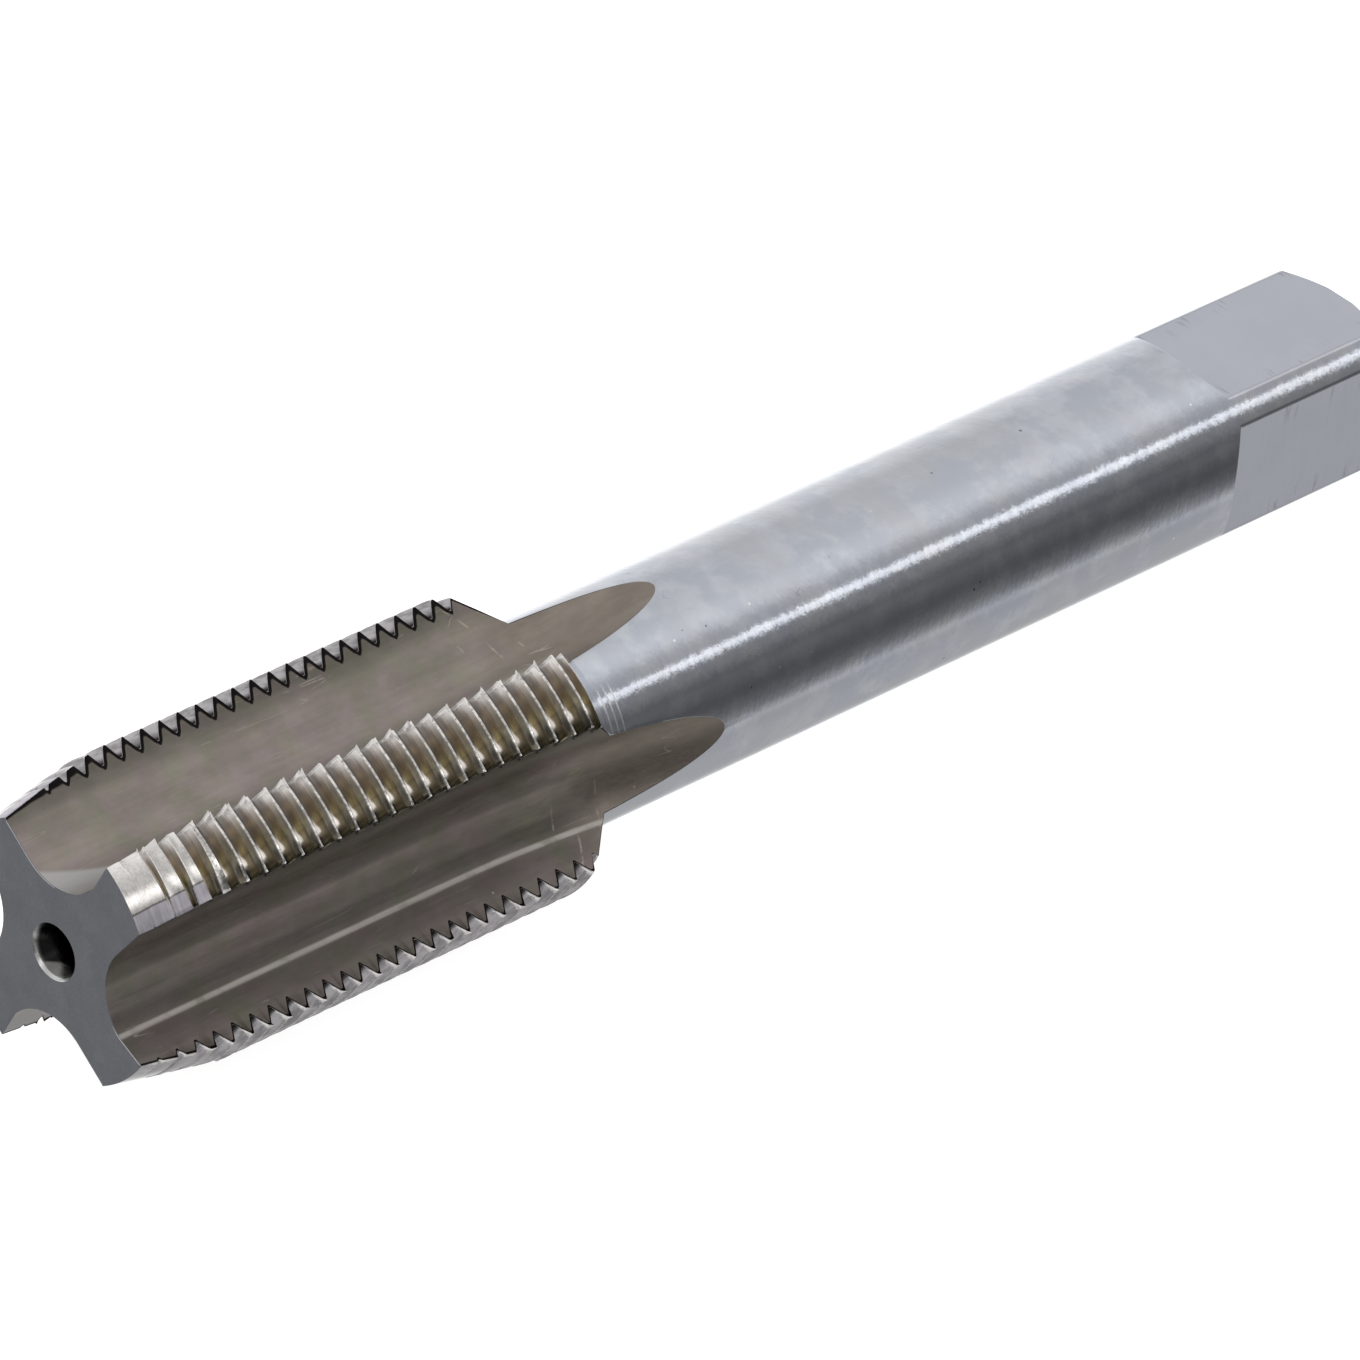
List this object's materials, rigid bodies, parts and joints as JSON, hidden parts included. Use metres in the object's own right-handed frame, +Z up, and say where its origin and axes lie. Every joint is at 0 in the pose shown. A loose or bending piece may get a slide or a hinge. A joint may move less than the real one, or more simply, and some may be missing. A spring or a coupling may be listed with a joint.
{
  "type": "thread tap",
  "caption": "Straight-fluted hand tap with a ground lead, a round shank and a driving square.",
  "frame": {"origin": "on the table, below the middle of the lying tap's box", "axes": "+X from the cutting tip to the square along the lying tap, +Z up. The tap's own axis dips 1.6 degrees below +X towards the square, because it lies on its wider thread and on its shank"},
  "size_m": [0.1124, 0.0172, 0.018],
  "materials": {
    "tool_steel": "ground and polished tool steel, brown-grey in the flutes"
  },
  "bodies": {
    "root": {"thread_tap": "tool_steel"}
  },
  "joints": []
}
